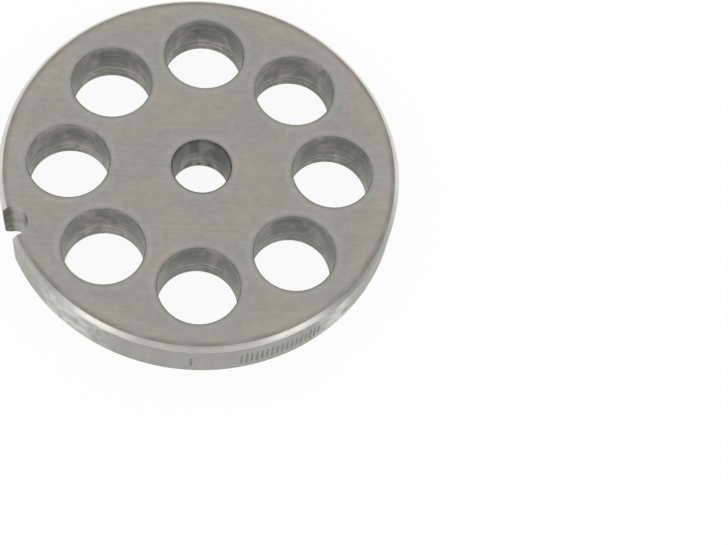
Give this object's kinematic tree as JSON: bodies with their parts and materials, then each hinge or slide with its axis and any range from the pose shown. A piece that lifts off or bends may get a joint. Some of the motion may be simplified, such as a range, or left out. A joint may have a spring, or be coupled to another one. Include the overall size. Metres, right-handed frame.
{
  "type": "meat grinder plate",
  "caption": "Flat round steel grinder plate with a ring of large drilled holes, a central bore, chamfered rim edges and a half-round key notch in the rim.",
  "frame": {"origin": "centre of the lower face, on the bore's axis", "axes": "+Z along the bore's axis and out of the upper face, -X towards the key notch in the rim"},
  "size_m": [0.0819, 0.082, 0.011],
  "materials": {
    "ground_steel": "flat faces ground with fine straight grain, rim turned, holes as drilled, lightly used"
  },
  "bodies": {
    "root": {"grinder_plate": "ground_steel"}
  },
  "joints": []
}
